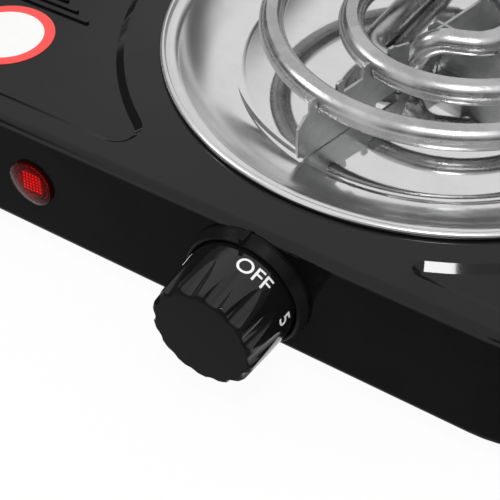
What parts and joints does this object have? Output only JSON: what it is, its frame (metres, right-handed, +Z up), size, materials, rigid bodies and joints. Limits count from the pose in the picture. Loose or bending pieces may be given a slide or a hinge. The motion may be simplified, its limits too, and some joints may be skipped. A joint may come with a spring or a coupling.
{
  "type": "hot plate",
  "caption": "Table-top electric hot plate with two spiral tube elements in round drip pans, front dials with bezels, pilot lamps and a low black pressed body.",
  "frame": {"origin": "on the surface it stands on, under the middle of the whole with its dials and gland", "axes": "+Z up, front with the dials towards -Y, burners along X"},
  "size_m": [0.48, 0.2516, 0.066],
  "materials": {
    "black_enamel": "gloss black enamel",
    "galvanised_steel": "galvanised sheet",
    "zinc_steel": "zinc-plated",
    "sticker_film": "printed film",
    "black_nylon": "moulded",
    "black_rubber": "matte",
    "white_plastic": "moulded",
    "lead_sleeving": "braided sleeving",
    "polished_pan": "polished",
    "element_sheath": "satin grey sheath",
    "support_steel": "plain sheet",
    "ceramic_block": "unglazed",
    "knob_plastic": "satin",
    "bezel_plastic": "semi-gloss",
    "control_body": "moulded phenolic",
    "red_lens": "clear red, prismatic",
    "neon_glass": "clear"
  },
  "bodies": {
    "body": {"base_plate": "galvanised_steel", "base_screws": "zinc_steel", "blank_sticker": "sticker_film", "cord_gland": "black_nylon", "foot_screws": "zinc_steel", "gland_nut": "black_nylon", "left_bracket_rivets": "zinc_steel", "left_drip_pan": "polished_pan", "left_hinge_bracket": "zinc_steel", "left_knob_bezel": "bezel_plastic", "left_lamp_holder": "white_plastic", "left_lamp_lens": "red_lens", "left_neon_bulb": "neon_glass", "left_thermostat": "control_body", "left_thermostat_nut": "zinc_steel", "right_bracket_rivets": "zinc_steel", "right_drip_pan": "polished_pan", "right_hinge_bracket": "zinc_steel", "right_knob_bezel": "bezel_plastic", "right_lamp_holder": "white_plastic", "right_lamp_lens": "red_lens", "right_neon_bulb": "neon_glass", "right_thermostat": "control_body", "right_thermostat_nut": "zinc_steel", "rubber_feet": "black_rubber", "strip_screws": "zinc_steel", "terminal_strip": "white_plastic", "top_housing": "black_enamel", "wiring": "lead_sleeving"},
    "right_dial": {"right_knob": "knob_plastic", "right_thermostat_shaft": "zinc_steel"},
    "right_element": {"right_coil": "element_sheath", "right_long_support": "support_steel", "right_cross_support": "support_steel", "right_terminal_block": "ceramic_block", "right_hinge_pins": "zinc_steel"},
    "left_dial": {"left_knob": "knob_plastic", "left_thermostat_shaft": "zinc_steel"},
    "left_element": {"left_coil": "element_sheath", "left_long_support": "support_steel", "left_cross_support": "support_steel", "left_terminal_block": "ceramic_block", "left_hinge_pins": "zinc_steel"}
  },
  "joints": [
    {"name": "right_dial_turn", "type": "hinge", "parent": "body", "child": "right_dial", "pos_m": [0.123, -0.09925, 0.031], "axis": [0, 1, 0], "range_deg": [-25, 280]},
    {"name": "right_element_tilt", "type": "hinge", "parent": "body", "child": "right_element", "pos_m": [0.129, 0.10435, 0.044], "axis": [-1, 0, 0], "range_deg": [0, 20]},
    {"name": "left_dial_turn", "type": "hinge", "parent": "body", "child": "left_dial", "pos_m": [-0.123, -0.09925, 0.031], "axis": [0, 1, 0], "range_deg": [-25, 280]},
    {"name": "left_element_tilt", "type": "hinge", "parent": "body", "child": "left_element", "pos_m": [-0.129, 0.10435, 0.044], "axis": [-1, 0, 0], "range_deg": [0, 20]}
  ]
}
